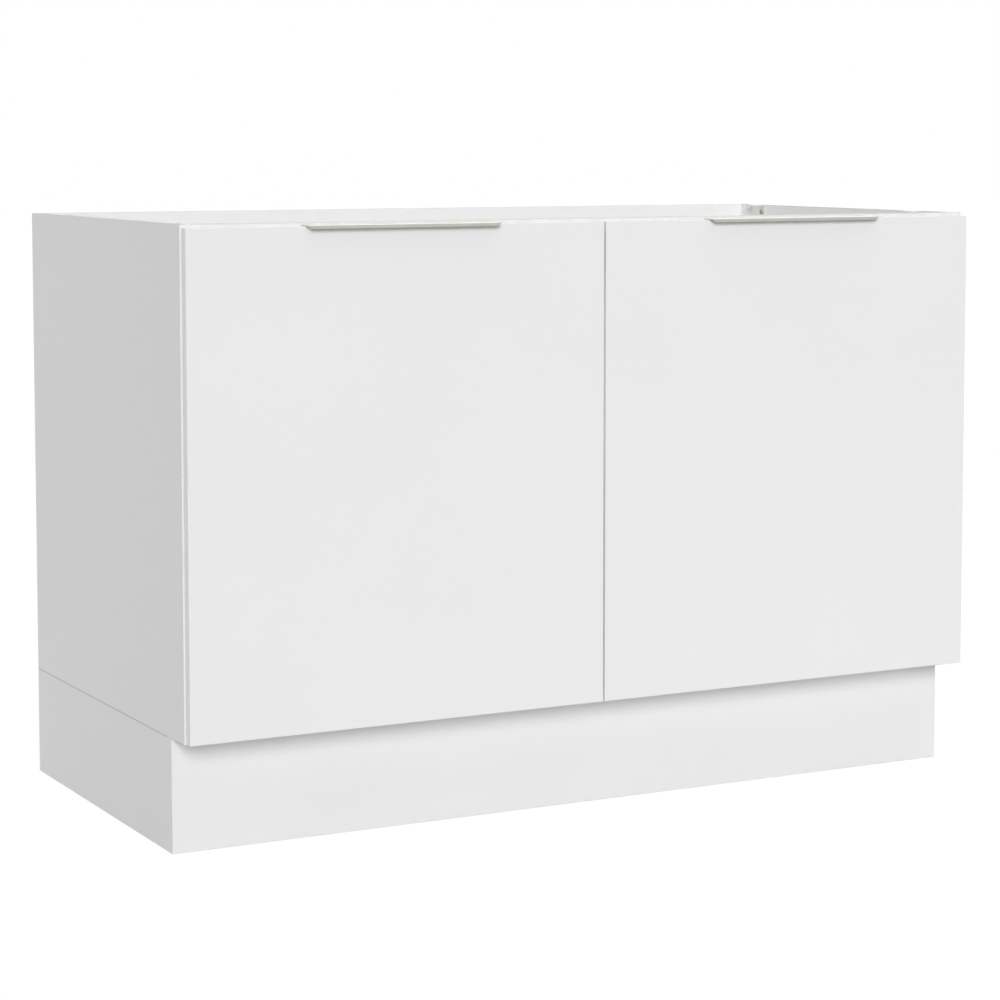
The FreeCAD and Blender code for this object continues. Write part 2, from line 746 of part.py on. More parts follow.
def build():
    """Every node of the cabinet by name."""
    cams, bolts, dowels, joint_holes = carcass_joints()
    all_joint_holes = both(joint_holes)
    blocks, block_screws, block_holes = block_fixings()
    all_block_holes = both(block_holes)
    plinth_dowels = plinth_dowel_pairs()
    plinth_cuts = [hole for pin, hole in plinth_dowels] + all_block_holes
    rows, pin_level = pin_places()
    bracket_screws = []
    for start in bracket_starts():
        bracket_screws += [screw(seat, -RIGHT) for seat in bracket_screw_seats(start)]

    nodes = {
        "left_side_panel": left_side_panel(joint_holes),
        "bottom_panel": bottom_panel(all_joint_holes, all_block_holes),
        "back_panel": back_panel(),
        "front_rail": front_rail(all_joint_holes),
        "rear_rail": rear_rail(all_joint_holes),
        "shelf": shelf(),
        "shelf_pins": group(both([shelf_pin(y, pin_level) for y in rows])),
        "plinth_front_board": plinth_front_board(plinth_cuts),
        "plinth_left_board": plinth_left_board(plinth_cuts),
        "plinth_rear_board": plinth_rear_board(plinth_cuts),
        "plinth_centre_board": plinth_centre_board(plinth_cuts),
        "plinth_dowels": group([pin for pin, hole in plinth_dowels]),
        "plinth_blocks": group(both(blocks)),
        "plinth_block_screws": group(both(block_screws)),
        "cam_locks": group(both(cams)),
        "cam_bolts": group(both(bolts)),
        "carcass_dowels": group(both(dowels)),
        "back_nails": group(nails()),
        "bracket_screws": group(both(bracket_screws)),
        "left_door": left_door(),
        "left_pull": left_pull(),
        "left_bumpers": group(left_bumpers()),
    }
    for place, start in zip(("front", "rear"), bracket_starts()):
        nodes["left_" + place + "_bracket"] = bracket(start)
    plate_screws, arm_screws, cup_screws = [], [], []
    for place, height in zip(("lower", "upper"), hinge_heights):
        name = "left_" + place + "_hinge_"
        nodes[name + "cup"] = hinge_cup(height)
        nodes[name + "pin"] = hinge_pin(height)
        nodes[name + "arm"] = hinge_arm(height)
        nodes[name + "plate"] = hinge_plate(height)
        plate_screws += [screw(seat, -RIGHT) for seat in plate_screw_seats(height)]
        arm_screws += [screw(seat, -RIGHT, arm_screw_length()) for seat in arm_screw_seats(height)]
        cup_screws += [screw(seat, -BACK) for seat in cup_screw_seats(height)]
    nodes["hinge_plate_screws"] = group(both(plate_screws))
    nodes["hinge_arm_screws"] = group(both(arm_screws))
    nodes["left_cup_screws"] = group(cup_screws)
    for name in [name for name in nodes if "left_" in name]:
        nodes[name.replace("left_", "right_")] = mirror(nodes[name])
    return nodes


os.makedirs("parts", exist_ok=True)
for node_name, node_shape in build().items():
    node_shape.exportStep("parts/" + node_name + ".step")
    state = "valid" if node_shape.isValid() else "NOT VALID"
    print(node_name, len(node_shape.Solids), state, round(node_shape.Volume))
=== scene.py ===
# %% [markdown]
# # A white kitchen base cabinet
# The cabinet stands without its worktop: two flat doors, slim metal pulls and a plinth that steps back.
# Its boards and fittings could be modelled again here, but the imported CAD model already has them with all
# their joints, so this lesson loads those shapes as they are. It gives them finishes, adds the thin edge
# bands that a joiner irons on, and sets up the camera and a white studio.

# %% Load the cabinet
import math

import bpy
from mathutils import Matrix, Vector


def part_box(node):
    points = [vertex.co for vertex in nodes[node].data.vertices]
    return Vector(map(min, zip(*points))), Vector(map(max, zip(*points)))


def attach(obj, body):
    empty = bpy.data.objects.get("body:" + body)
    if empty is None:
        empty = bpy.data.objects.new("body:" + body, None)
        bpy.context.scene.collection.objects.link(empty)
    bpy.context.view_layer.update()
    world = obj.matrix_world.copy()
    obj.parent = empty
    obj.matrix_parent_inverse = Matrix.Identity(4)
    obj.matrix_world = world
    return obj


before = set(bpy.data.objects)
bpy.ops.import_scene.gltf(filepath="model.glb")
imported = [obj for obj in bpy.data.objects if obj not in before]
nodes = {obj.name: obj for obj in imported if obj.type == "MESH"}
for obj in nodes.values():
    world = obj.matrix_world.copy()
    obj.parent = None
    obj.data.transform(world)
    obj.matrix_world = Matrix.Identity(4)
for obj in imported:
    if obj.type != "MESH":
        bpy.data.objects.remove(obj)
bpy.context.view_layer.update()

# %% [markdown]
# ## Camera
# The photograph was taken from the left front, a little above the cabinet's top, with a long lens. A camera
# could be placed by eye, but then shapes and tones could not be compared spot by spot. Its place, heading
# and lens were worked out from the photograph's straight edges instead. A small vertical shift keeps the
# upright edges nearly parallel, as a product photographer does with a shift lens.

# %% Camera
camera_place = (-1.8436, -3.5007, 0.9145)
camera_heading = math.radians(27.880)
camera_dip = math.radians(4.810)
camera_lens = 99.48
camera_sensor = 36.0
camera_shift = (-0.0086, -0.13)
level_view = math.pi / 2

bpy.ops.object.select_all(action="DESELECT")
bpy.ops.object.camera_add(location=camera_place, rotation=(level_view - camera_dip, 0, -camera_heading))
camera = bpy.context.object
camera.name = "photo_camera"
camera.data.lens = camera_lens
camera.data.sensor_width = camera_sensor
camera.data.shift_x, camera.data.shift_y = camera_shift
bpy.context.scene.camera = camera
bpy.context.scene.view_settings.view_transform = "Standard"
print("camera at", camera_place, "lens", camera_lens)

# %% [markdown]
# ## Small helpers for shader nodes
# A procedural finish is a chain of small sums on a point's place in the object. Its nodes could be added and
# linked one by one in the shader editor, or a painted picture could be wrapped round each board. Sums have
# no seams and stay sharp close by. Most helpers here add one node and give back its output, so that a
# finish reads from top to bottom like a recipe.

# %% Sums
def connect(tree, value, socket):
    """Links a socket, or writes a plain value into it."""
    if isinstance(value, bpy.types.NodeSocket):
        tree.links.new(value, socket)
    else:
        socket.default_value = value


def sums(tree, operation, first, second=0.0, clamp=False):
    """One math node."""
    node = tree.nodes.new("ShaderNodeMath")
    node.operation = operation
    node.use_clamp = clamp
    connect(tree, first, node.inputs[0])
    connect(tree, second, node.inputs[1])
    return node.outputs[0]


def vector_sums(tree, operation, first, second):
    """One vector math node."""
    node = tree.nodes.new("ShaderNodeVectorMath")
    node.operation = operation
    connect(tree, first, node.inputs[0])
    connect(tree, second, node.inputs[1])
    return node.outputs["Vector"]


def parts_of(tree, vector):
    """The three numbers of a vector."""
    node = tree.nodes.new("ShaderNodeSeparateXYZ")
    connect(tree, vector, node.inputs[0])
    return node.outputs


print("helpers for sums ready")

# %% Patterns
def noise(tree, where, scale, detail):
    """A noise value around one half, with about so many waves to a metre as its scale says."""
    node = tree.nodes.new("ShaderNodeTexNoise")
    connect(tree, where, node.inputs["Vector"])
    node.inputs["Scale"].default_value = scale
    node.inputs["Detail"].default_value = detail
    return node.outputs["Fac"]


def cells(tree, where, scale):
    """A Voronoi texture: its distance and its random colour per cell."""
    node = tree.nodes.new("ShaderNodeTexVoronoi")
    connect(tree, where, node.inputs["Vector"])
    node.inputs["Scale"].default_value = scale
    return node.outputs["Distance"], node.outputs["Color"]


def fade(tree, value, start, end, low=0.0, high=1.0):
    """A smooth step from low at start to high at end."""
    node = tree.nodes.new("ShaderNodeMapRange")
    node.interpolation_type = "SMOOTHSTEP"
    settings = {"Value": value, "From Min": start, "From Max": end, "To Min": low, "To Max": high}
    for label, amount in settings.items():
        connect(tree, amount, node.inputs[label])
    return node.outputs["Result"]


print("helpers for patterns ready")

# %% Mixing
# The colour sockets of a Mix node come after its sockets for numbers and vectors.
first_colour, second_colour, mixed_colour = 6, 7, 2


def weighed(tree, first, share, second):
    """Two values added, the first with its share and the second with the rest."""
    return sums(tree, "ADD", sums(tree, "MULTIPLY", first, share), sums(tree, "MULTIPLY", second, 1 - share))


def blend(tree, mask, first, second):
    """Two colours mixed by a mask."""
    node = tree.nodes.new("ShaderNodeMix")
    node.data_type = "RGBA"
    connect(tree, mask, node.inputs[0])
    connect(tree, first, node.inputs[first_colour])
    connect(tree, second, node.inputs[second_colour])
    return node.outputs[mixed_colour]


print("helpers for mixing ready")

# %% Node groups
def new_group(name, inputs, outputs):
    """An empty shader node group with named sockets."""
    tree = bpy.data.node_groups.new(name, "ShaderNodeTree")
    for label, kind in inputs:
        tree.interface.new_socket(label, in_out="INPUT", socket_type="NodeSocket" + kind)
    for label, kind in outputs:
        tree.interface.new_socket(label, in_out="OUTPUT", socket_type="NodeSocket" + kind)
    return tree, tree.nodes.new("NodeGroupInput").outputs, tree.nodes.new("NodeGroupOutput").inputs


def use_group(tree, name, **inputs):
    """Places a group in a material with its own values and gives back its outputs."""
    node = tree.nodes.new("ShaderNodeGroup")
    node.node_tree = bpy.data.node_groups[name]
    for label, value in inputs.items():
        connect(tree, value, node.inputs[label])
    return node.outputs


print("helpers for node groups ready")

# %% Materials
def new_finish(name, metallic=0.0):
    """A material with a Principled shader, and each point's place and direction in the object."""
    material = bpy.data.materials.new(name)
    material.use_nodes = True
    tree = material.node_tree
    shader = tree.nodes["Principled BSDF"]
    shader.inputs["Metallic"].default_value = metallic
    place = tree.nodes.new("ShaderNodeTexCoord").outputs
    return material, tree, shader, place


def lay_on(tree, shader, colour, rough, height, bumps):
    """Joins a colour, a roughness and a height to the shader. Bumps is the depth of the height in metres."""
    connect(tree, colour, shader.inputs["Base Color"])
    connect(tree, rough, shader.inputs["Roughness"])
    bump = tree.nodes.new("ShaderNodeBump")
    bump.inputs["Distance"].default_value = bumps
    connect(tree, height, bump.inputs["Height"])
    connect(tree, bump.outputs["Normal"], shader.inputs["Normal"])


print("helpers for materials ready")

# %% [markdown]
# ## Pressed grain of melamine
# White melamine board is pressed against a plate with a fine pearl, which breaks up its gloss, and the gloss
# drifts slowly over a large face. A scanned picture of such a board could be used, but it would repeat over
# a metre of board. Three noises of different size never repeat, and as a node group they serve every board.

# %% Pressed grain
pearl_scale, pearl_detail = 850.0, 3.0
drift_scale, drift_detail = 4.0, 4.0
speck_scale, speck_detail = 140.0, 2.0
drift_in_tone = 0.7
drift_in_gloss = 0.6

tree, given, result = new_group("pressed_grain", [("Where", "Vector")],
                                [("Height", "Float"), ("Tone", "Float"), ("Gloss", "Float")])
pearl = noise(tree, given["Where"], pearl_scale, pearl_detail)
drift = noise(tree, given["Where"], drift_scale, drift_detail)
specks = noise(tree, given["Where"], speck_scale, speck_detail)
connect(tree, pearl, result["Height"])
connect(tree, weighed(tree, drift, drift_in_tone, specks), result["Tone"])
connect(tree, weighed(tree, drift, drift_in_gloss, pearl), result["Gloss"])
print("group pressed_grain:", len(tree.nodes), "nodes")

# %% [markdown]
# ## Rims and narrow sides of a board
# Edges show how a cabinet was made and used: rims turn a little grey, hidden narrow sides stay bare, dust
# gathers in the seam between side and plinth, and drilled holes show the core. Such marks could be painted
# on each board by hand. Every board is a box, though, so its two corners are enough to work out how far a
# point lies from the nearest edge, which narrow side it is on and whether it is inside a hole.

# %% Worn rims
sideways, rearward, upward = 0, 1, 2
ragged_scale, ragged_detail = 60.0, 4.0
ragged_span = (0.3, 0.75)
least_rim = 0.0001

tree, given, result = new_group(
    "board_rims",
    [("Where", "Vector"), ("Facing", "Vector"), ("Low", "Vector"), ("High", "Vector"), ("Width", "Float")],
    [("Rim", "Float"), ("Top", "Float"), ("Bottom", "Float"), ("Rear", "Float"),
     ("Head", "Float"), ("Foot", "Float"), ("Bored", "Float")])
above_low = vector_sums(tree, "SUBTRACT", given["Where"], given["Low"])
below_high = vector_sums(tree, "SUBTRACT", given["High"], given["Where"])
inside = parts_of(tree, vector_sums(tree, "MINIMUM", above_low, below_high))
smaller = sums(tree, "MINIMUM", inside[sideways], inside[rearward])
larger = sums(tree, "MAXIMUM", inside[sideways], inside[rearward])
# On a face one of the three distances is zero, so the middle one is the distance to the nearest edge.
to_edge = sums(tree, "MAXIMUM", smaller, sums(tree, "MINIMUM", larger, inside[upward]))
ragged = fade(tree, noise(tree, given["Where"], ragged_scale, ragged_detail), *ragged_span)
reach = sums(tree, "ADD", sums(tree, "MULTIPLY", given["Width"], ragged), least_rim)
rim = sums(tree, "SUBTRACT", 1.0, sums(tree, "DIVIDE", to_edge, reach), clamp=True)
connect(tree, rim, result["Rim"])
print("group board_rims with rims:", len(tree.nodes), "nodes")

# %% Narrow sides
face_depth = 0.0006
turned = 0.7

from_low = parts_of(tree, above_low)
from_high = parts_of(tree, below_high)
facing = parts_of(tree, given["Facing"])
for label, distances, axis, sign in (("Top", from_high, upward, 1), ("Bottom", from_low, upward, -1),
                                     ("Rear", from_high, rearward, 1)):
    near = sums(tree, "LESS_THAN", distances[axis], face_depth)
    faced = sums(tree, "GREATER_THAN", sums(tree, "MULTIPLY", facing[axis], sign), turned)
    connect(tree, sums(tree, "MULTIPLY", near, faced), result[label])
print("group board_rims with narrow sides:", len(tree.nodes), "nodes")

# %% Seams and bores
seam_depth = 0.0011
bore_depth = 0.0012

connect(tree, fade(tree, from_high[upward], seam_depth, 0.0), result["Head"])
connect(tree, fade(tree, from_low[upward], seam_depth, 0.0), result["Foot"])
below_skin = sums(tree, "MINIMUM", smaller, inside[upward])
connect(tree, sums(tree, "GREATER_THAN", below_skin, bore_depth), result["Bored"])
print("group board_rims with seams and bores:", len(tree.nodes), "nodes")

# %% [markdown]
# ## Raw chipboard
# The core of the boards is pressed wood chips, and it shows on narrow sides without a band and inside
# drilled holes. Chips could be modelled as slivers, but they are only one to three millimetres long. Two
# Voronoi textures, a large one for chips and a small one for splinters, give each cell its own shade.

# %% Chips and splinters
chips_per_metre = 380.0
splinters_per_metre = 950.0
chip_share = 0.6
core_dark = (0.34, 0.23, 0.13, 1)
core_light = (0.68, 0.54, 0.36, 1)

tree, given, result = new_group("chipboard", [("Where", "Vector")],
                                [("Colour", "Color"), ("Height", "Float")])
chip_gap, chip_tint = cells(tree, given["Where"], chips_per_metre)
splinter_gap, splinter_tint = cells(tree, given["Where"], splinters_per_metre)
chip = tree.nodes.new("ShaderNodeSeparateColor")
splinter = tree.nodes.new("ShaderNodeSeparateColor")
connect(tree, chip_tint, chip.inputs[0])
connect(tree, splinter_tint, splinter.inputs[0])
shade = weighed(tree, chip.outputs[0], chip_share, splinter.outputs[1])
connect(tree, blend(tree, shade, core_dark, core_light), result["Colour"])
connect(tree, sums(tree, "ADD", chip_gap, splinter_gap), result["Height"])
print("group chipboard:", len(tree.nodes), "nodes")

# %% [markdown]
# ## Drawn lines of metal
# Extruding and rolling leave fine lines on metal, and handling leaves faint stains. An anisotropic highlight
# could stand for the lines, but close by the lines themselves are seen. Noise that is stretched along one
# direction draws them, and each metal brings its own direction.

# %% Lines and stains
line_detail = 5.0
stain_scale, stain_detail = 45.0, 4.0
lines_in_tone = 0.6
lines_in_gloss = 0.5
unscaled = 1.0

tree, given, result = new_group("drawn_lines", [("Where", "Vector"), ("Along", "Vector")],
                                [("Height", "Float"), ("Tone", "Float"), ("Gloss", "Float")])
stretched = vector_sums(tree, "MULTIPLY", given["Where"], given["Along"])
lines = noise(tree, stretched, unscaled, line_detail)
stains = noise(tree, given["Where"], stain_scale, stain_detail)
connect(tree, lines, result["Height"])
connect(tree, weighed(tree, lines, lines_in_tone, stains), result["Tone"])
connect(tree, weighed(tree, lines, lines_in_gloss, stains), result["Gloss"])
print("group drawn_lines:", len(tree.nodes), "nodes")

# %% [markdown]
# ## White boards
# The carcass is chipboard faced with white melamine. Its faces are matt and finely pressed, its rims are a
# little grey where hands and feet touch them, and the core shows where no band was ironed on. In the
# photograph the top edges are a warmer white with a thin line below them, so they get a paper tape and its
# line of glue. The rail above the doors gets a much wider grey rim, which is painted shade: it darkens the
# rail's front face above the doors as if it lay in shade. One plain white for all boards would be quicker,
# but seams, rims and cut sides would then look alike. So every board has its own copy of one recipe, which
# is told the board's corners and what its narrow sides are like.

# %% Start of a white board
white_soiled_and_shaded = (0.74, 0.735, 0.72, 1)
board_specular = 0.2
gloss_span = (0.25, 0.75)


def faced_board(name, node, tints, rim_width, wear_and_shade, gloss):
    """The start of a white board: a tinted face with grey rims and raw bores, and its roughness. Narrow rims
    stand for wear, and a wide rim is also painted shade.
    """
    material, tree, shader, place = new_finish(name)
    where = place["Object"]
    low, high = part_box(node)
    grain = use_group(tree, "pressed_grain", Where=where)
    rims = use_group(tree, "board_rims", Where=where, Facing=place["Normal"],
                     Low=tuple(low), High=tuple(high), Width=rim_width)
    core = use_group(tree, "chipboard", Where=where)
    face = blend(tree, grain["Tone"], *tints)
    # Rims turn grey with wear; on the front rail the wide grey rim is painted shade.
    face = blend(tree, sums(tree, "MULTIPLY", rims["Rim"], wear_and_shade), face, white_soiled_and_shaded)
    face = blend(tree, rims["Bored"], face, core["Colour"])
    rough = fade(tree, grain["Gloss"], *gloss_span, *gloss)
    shader.inputs["Specular IOR Level"].default_value = board_specular
    return {"material": material, "tree": tree, "shader": shader, "where": where,
            "grain": grain, "rims": rims, "core": core, "face": face, "rough": rough}


print("start of a white board ready, specular level", board_specular)

# %% Melamine on one board
white_dark = (0.845, 0.845, 0.845, 1)
white_light = (0.9, 0.9, 0.9, 1)
paper_tape = (0.75, 0.75, 0.69, 1)
glue_line = (0.62, 0.615, 0.57, 1)
seam_dust = (0.50, 0.50, 0.49, 1)
board_wear_and_shade = 0.5
board_gloss = (0.36, 0.52)
tape_roughness = 0.75
core_roughness = 0.85
board_bumps = 0.00003
chip_bumps = 6.0


def board_finish(name, node, rim_width, raw, taped, seams):
    """White melamine on one board. Raw, taped and seams name the narrow sides they are for."""
    start = faced_board(name, node, (white_dark, white_light), rim_width, board_wear_and_shade, board_gloss)
    tree, rims, core = start["tree"], start["rims"], start["core"]
    face, rough, bare = start["face"], start["rough"], rims["Bored"]
    for side in taped:
        face = blend(tree, rims["Head"], face, glue_line)
        face = blend(tree, rims[side], face, paper_tape)
        rough = sums(tree, "MAXIMUM", rough, sums(tree, "MULTIPLY", rims[side], tape_roughness))
    for side in seams:
        face = blend(tree, rims[side], face, seam_dust)
    for side in raw:
        face = blend(tree, rims[side], face, core["Colour"])
        bare = sums(tree, "MAXIMUM", bare, rims[side])
    rough = sums(tree, "MAXIMUM", rough, sums(tree, "MULTIPLY", bare, core_roughness))
    coarse = sums(tree, "MULTIPLY", core["Height"], chip_bumps)
    height = sums(tree, "ADD", start["grain"]["Height"], sums(tree, "MULTIPLY", bare, coarse))
    lay_on(tree, start["shader"], face, rough, height, board_bumps)
    return start["material"]


print("melamine ready, chips", chip_bumps, "times as deep as the pearl")

# %% Dress the carcass
dressed = set()


def dress(node, material):
    """Gives a CAD node its finish."""
    mesh = nodes[node].data
    mesh.materials.clear()
    mesh.materials.append(material)
    dressed.add(node)


raw_sides = {
    "left_side_panel": ("Rear", "Bottom"), "right_side_panel": ("Rear", "Bottom"), "bottom_panel": ("Rear",),
    "front_rail": (), "rear_rail": ("Bottom",), "shelf": ("Rear",), "plinth_front_board": ("Bottom",),
    "plinth_left_board": ("Rear", "Bottom"), "plinth_right_board": ("Rear", "Bottom"),
    "plinth_rear_board": ("Bottom",), "plinth_centre_board": ("Bottom",)}
taped_sides = dict.fromkeys(("left_side_panel", "right_side_panel", "front_rail", "rear_rail"), ("Top",))
seam_sides = {"left_side_panel": ("Foot",), "right_side_panel": ("Foot",),
              "plinth_left_board": ("Head",), "plinth_right_board": ("Head",)}
board_rim = 0.0022
# The front rail's wide rim is painted shade: a broad grey band along its edges makes the strip above the
# doors look shaded.
painted_shade_rims = {"front_rail": 0.012}
for board, sides in raw_sides.items():
    taped, seams = taped_sides.get(board, ()), seam_sides.get(board, ())
    rim_width = painted_shade_rims.get(board, board_rim)
    dress(board, board_finish("melamine_" + board, board, rim_width, sides, taped, seams))
print("boards dressed:", len(raw_sides))

# %% [markdown]
# ## Doors
# The doors are smoother than the carcass. A lacquered front has a very shallow orange peel, several
# millimetres across, and a slightly brighter gloss than pressed melamine. A displaced mesh could carry the
# peel, but it would need a very large number of faces. So the start of the board recipe is used again, and
# a wide and shallow bump lies over it.

# %% Door faces
lacquer_dark = (0.845, 0.845, 0.845, 1)
lacquer_light = (0.875, 0.875, 0.875, 1)
door_rim = 0.0018
door_wear = 0.35
door_gloss = (0.30, 0.42)
peel_scale, peel_detail = 180.0, 1.0
peel_bumps = 0.00004
grain_in_peel = 0.15

for door in ("left_door", "right_door"):
    tints = (lacquer_dark, lacquer_light)
    start = faced_board("lacquer_" + door, door, tints, door_rim, door_wear, door_gloss)
    tree = start["tree"]
    waves = noise(tree, start["where"], peel_scale, peel_detail)
    peel = sums(tree, "ADD", waves, sums(tree, "MULTIPLY", start["grain"]["Height"], grain_in_peel))
    lay_on(tree, start["shader"], start["face"], start["rough"], peel, peel_bumps)
    dress(door, start["material"])
    print(door, "dressed:", len(tree.nodes), "nodes")

# %% [markdown]
# ## Back panel
# The back is hardboard: smooth and white towards the inside, brown and embossed by a wire screen on the side
# that faces the wall. Two materials on two sets of faces would do it, but a CAD mesh isn't changed here. One
# material that asks whether a point lies in the rear half of the thickness needs no such split.

# %% Colours of the hardboard
fibre_stretch = (320.0, 320.0, 900.0)
fibre_detail = 6.0
blotch_scale, blotch_detail = 110.0, 8.0
fibre_share = 0.5
noise_span = (0.3, 0.7)
brown_dark = (0.30, 0.19, 0.105, 1)
brown_light = (0.54, 0.38, 0.235, 1)
painted_dark = (0.85, 0.85, 0.85, 1)
painted_light = (0.89, 0.89, 0.89, 1)
painted_roughness, brown_roughness = 0.4, 0.75

material, tree, shader, place = new_finish("hardboard_back")
where = place["Object"]
low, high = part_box("back_panel")
split = (low[rearward] + high[rearward]) / 2
parts = parts_of(tree, where)
wall_side = sums(tree, "GREATER_THAN", parts[rearward], split)
grain = use_group(tree, "pressed_grain", Where=where)
fibres = noise(tree, vector_sums(tree, "MULTIPLY", where, fibre_stretch), unscaled, fibre_detail)
blotches = noise(tree, where, blotch_scale, blotch_detail)
mottle = fade(tree, weighed(tree, fibres, fibre_share, blotches), *noise_span)
brown = blend(tree, mottle, brown_dark, brown_light)
painted = blend(tree, grain["Tone"], painted_dark, painted_light)
colour = blend(tree, wall_side, painted, brown)
rough = fade(tree, wall_side, 0.0, 1.0, painted_roughness, brown_roughness)
print("hardboard turns brown at", round(split, 5))

# %% Wire screen of the hardboard
screen_pitch = 0.0016
screen_bumps = 0.00006
grain_in_screen = 0.2

turn_per_metre = 2 * math.pi / screen_pitch
turns = [sums(tree, "MULTIPLY", parts[axis], turn_per_metre) for axis in (sideways, upward)]
wires = [sums(tree, "SINE", turn) for turn in turns]
screen = sums(tree, "MULTIPLY", sums(tree, "ADD", *wires), wall_side)
height = sums(tree, "ADD", screen, sums(tree, "MULTIPLY", grain["Height"], grain_in_screen))
lay_on(tree, shader, colour, rough, height, screen_bumps)
dress("back_panel", material)
print("back panel dressed, one wire every", screen_pitch, "m")

# %% [markdown]
# ## Metal
# The pulls are extruded aluminium with a satin, faintly warm grey finish whose lines run along their
# length. Hinges are nickel plated, and brackets, screws, pins and cams are zinc plated. Each could have a
# shader of its own, but they differ only in tints, direction of lines and gloss. One recipe that is given
# those values serves them all, and a change to the lines then reaches every metal at once.

# %% Metal recipe
def metal_finish(name, dark, light, along, gloss, bumps):
    """Plated or anodised metal with drawn lines."""
    material, tree, shader, place = new_finish(name, metallic=1.0)
    drawn = use_group(tree, "drawn_lines", Where=place["Object"], Along=along)
    colour = blend(tree, drawn["Tone"], dark, light)
    rough = fade(tree, drawn["Gloss"], *noise_span, *gloss)
    lay_on(tree, shader, colour, rough, drawn["Height"], bumps)
    return material


anodised = metal_finish("satin_aluminium", dark=(0.435, 0.44, 0.40, 1), light=(0.58, 0.58, 0.537, 1),
                        along=(12.0, 2600.0, 2600.0), gloss=(0.28, 0.42), bumps=0.00001)
nickel = metal_finish("nickel_plate", dark=(0.53, 0.52, 0.49, 1), light=(0.72, 0.71, 0.67, 1),
                      along=(500.0, 60.0, 500.0), gloss=(0.2, 0.38), bumps=0.00001)
bright_zinc = metal_finish("bright_zinc", dark=(0.58, 0.59, 0.55, 1), light=(0.78, 0.79, 0.75, 1),
                           along=(300.0, 300.0, 300.0), gloss=(0.35, 0.55), bumps=0.00002)
zinc = metal_finish("zinc_plate", dark=(0.26, 0.27, 0.25, 1), light=(0.48, 0.49, 0.46, 1),
                    along=(300.0, 300.0, 300.0), gloss=(0.3, 0.5), bumps=0.00002)
print("metals:", [metal.name for metal in (anodised, nickel, bright_zinc, zinc)])

# %% Dress the metal parts
zinc_words = ("screws", "nails", "cam_", "shelf_pins")
for node in nodes:
    if node.endswith("_pull"):
        dress(node, anodised)
    elif "_hinge_" in node:
        dress(node, nickel)
    elif node.endswith("_bracket"):
        dress(node, bright_zinc)
    elif any(word in node for word in zinc_words):
        dress(node, zinc)
print("nodes dressed so far:", len(dressed), "of", len(nodes))

# %% [markdown]
# ## Plastic, bumpers and dowels
# The plinth blocks are moulded white plastic, the bumpers are soft and milky, and the dowels are beech that
# nobody sees once the boards are together. Milky bumpers could let light through, but on a white board that
# would hardly show. A pale surface with a fine grain is enough, so the same recipe does for all three.

# %% Small finishes
grain_detail = 4.0
cloud_size, cloud_detail = 12, 3.0
gloss_swing = 0.08


def soft_finish(name, dark, light, roughness, grain_scale, bumps):
    """A moulded or sawn surface: two tints in slow clouds, and a grain with its bumps."""
    material, tree, shader, place = new_finish(name)
    grain = noise(tree, place["Object"], grain_scale, grain_detail)
    cloud = noise(tree, place["Object"], grain_scale / cloud_size, cloud_detail)
    colour = blend(tree, cloud, dark, light)
    rough = fade(tree, grain, *noise_span, roughness - gloss_swing, roughness + gloss_swing)
    lay_on(tree, shader, colour, rough, grain, bumps)
    return material


moulded = soft_finish("moulded_plastic", dark=(0.76, 0.76, 0.74, 1), light=(0.84, 0.84, 0.82, 1),
                      roughness=0.5, grain_scale=1400.0, bumps=0.00003)
milky = soft_finish("milky_bumper", dark=(0.70, 0.71, 0.71, 1), light=(0.80, 0.81, 0.81, 1),
                    roughness=0.35, grain_scale=900.0, bumps=0.00001)
beech = soft_finish("beech_dowel", dark=(0.56, 0.38, 0.23, 1), light=(0.76, 0.57, 0.38, 1),
                    roughness=0.6, grain_scale=700.0, bumps=0.00004)
for node, material in (("plinth_blocks", moulded), ("left_bumpers", milky), ("right_bumpers", milky),
                       ("plinth_dowels", beech), ("carcass_dowels", beech)):
    dress(node, material)
print("nodes dressed:", len(dressed), "of", len(nodes))

# %% [markdown]
# ## Edge bands of the carcass
# A narrow plastic band covers each board edge that shows, with a fine chamfer where it was scraped flush. A
# tint on the board's edge could stand for it, but then no thin outline would catch the light. So each band
# is a piece of its own. It starts as a thin block, and its outer face is inset and pushed out, which leaves
# the chamfer. Operators act on what is selected, so the helpers select the right faces first.

# %% Modelling helpers
def start_block(name, low, high):
    """A cube primitive that fills the box between two corners, with its place in its mesh."""
    bpy.ops.object.select_all(action="DESELECT")
    low, high = Vector(low), Vector(high)
    bpy.ops.mesh.primitive_cube_add(size=1, location=(low + high) / 2, scale=high - low)
    piece = bpy.context.object
    piece.name = name
    piece.data.name = name
    bpy.ops.object.transform_apply(location=True, rotation=True, scale=True)
    return piece


def select_faces(piece, wanted):
    """Enters edit mode with only the wanted faces selected."""
    bpy.ops.object.mode_set(mode="EDIT")
    bpy.ops.mesh.select_mode(type="FACE")
    bpy.ops.mesh.select_all(action="DESELECT")
    bpy.ops.object.mode_set(mode="OBJECT")
    for face in piece.data.polygons:
        face.select = wanted(face)
    bpy.ops.object.mode_set(mode="EDIT")


def settle(piece, body, material):
    """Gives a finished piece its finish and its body."""
    piece.data.materials.clear()
    piece.data.materials.append(material)
    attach(piece, body)
    print(piece.name, "on", body, "with", len(piece.data.polygons), "faces")


print("modelling helpers ready")

# %% Bands on the front edges of the carcass
band_thickness = 0.00045
band_proud = 0.00005
band_scrape = 0.0002
edge_round = 0.0005
straight_on = 0.9
band_finish = soft_finish("edge_band", dark=(0.83, 0.83, 0.825, 1), light=(0.875, 0.875, 0.87, 1),
                          roughness=0.38, grain_scale=500.0, bumps=0.00001)


